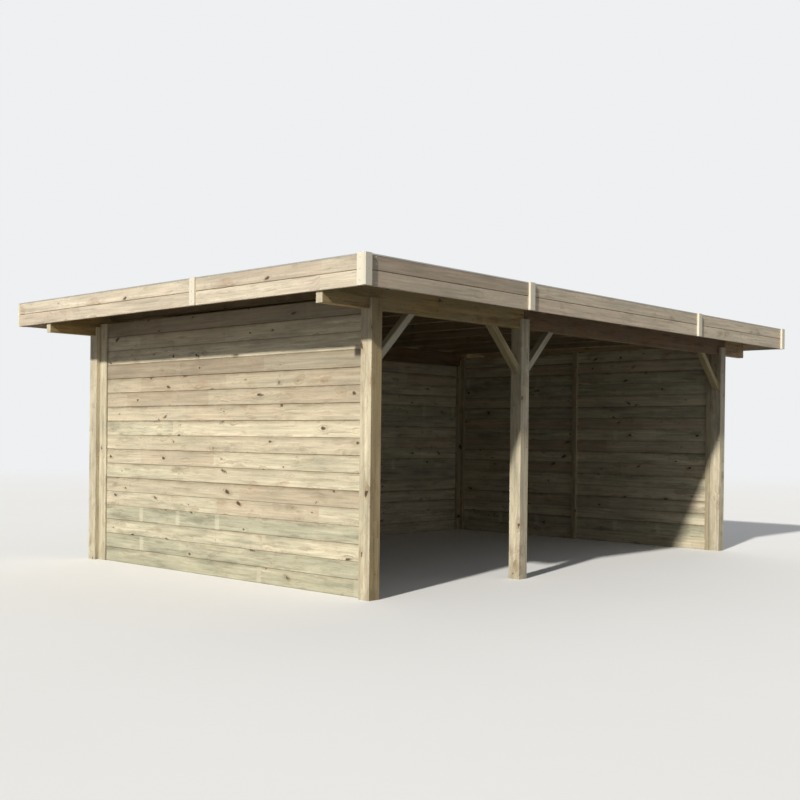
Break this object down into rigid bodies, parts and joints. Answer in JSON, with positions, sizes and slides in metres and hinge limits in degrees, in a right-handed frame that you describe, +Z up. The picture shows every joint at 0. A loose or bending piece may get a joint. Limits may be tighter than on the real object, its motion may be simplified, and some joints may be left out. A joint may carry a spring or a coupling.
{
  "type": "carport",
  "caption": "Timber double carport: flat roof with deep board fascia on square posts with knee braces, open front, boarded side and back walls.",
  "frame": {"origin": "on the ground under the middle of the roof: the centre of the bounding box's base", "axes": "+X to the right along the open front, +Y from the front into the depth, +Z up"},
  "size_m": [7, 5.01, 2.6],
  "materials": {
    "frame_timber": "planed, satin stain",
    "wall_board": "planed, satin stain",
    "fascia_board": "planed, satin stain",
    "trim_board": "planed, satin stain",
    "rough_timber": "rough sawn",
    "roof_membrane": "matte",
    "edge_cap": "satin"
  },
  "bodies": {
    "root": {"back_beam_left": "frame_timber", "back_beam_right": "frame_timber", "back_cover_strips": "trim_board", "back_fascia_left": "fascia_board", "back_fascia_middle": "fascia_board", "back_fascia_right": "fascia_board", "back_left_corner_trim": "trim_board", "back_left_post": "frame_timber", "back_middle_post": "frame_timber", "back_right_corner_trim": "trim_board", "back_right_post": "frame_timber", "back_wall_boards_left": "wall_board", "back_wall_boards_right": "wall_board", "back_wall_studs": "rough_timber", "front_beam_left": "frame_timber", "front_beam_right": "frame_timber", "front_cover_strips": "trim_board", "front_fascia_left": "fascia_board", "front_fascia_middle": "fascia_board", "front_fascia_right": "fascia_board", "front_left_corner_trim": "trim_board", "front_left_post": "frame_timber", "front_middle_post": "frame_timber", "front_right_corner_trim": "trim_board", "front_right_post": "frame_timber", "left_cover_strip": "trim_board", "left_fascia_back": "fascia_board", "left_fascia_front": "fascia_board", "left_post_brace": "frame_timber", "left_wall_boards": "wall_board", "left_wall_end_board": "wall_board", "left_wall_studs": "rough_timber", "middle_post_brace_left": "frame_timber", "middle_post_brace_right": "frame_timber", "right_cover_strip": "trim_board", "right_fascia_back": "fascia_board", "right_fascia_front": "fascia_board", "right_post_brace": "frame_timber", "right_wall_boards": "wall_board", "right_wall_end_board": "wall_board", "right_wall_studs": "rough_timber", "roof_deck": "rough_timber", "roof_edge_cap": "edge_cap", "roof_joists": "rough_timber", "roof_membrane": "roof_membrane"}
  },
  "joints": []
}
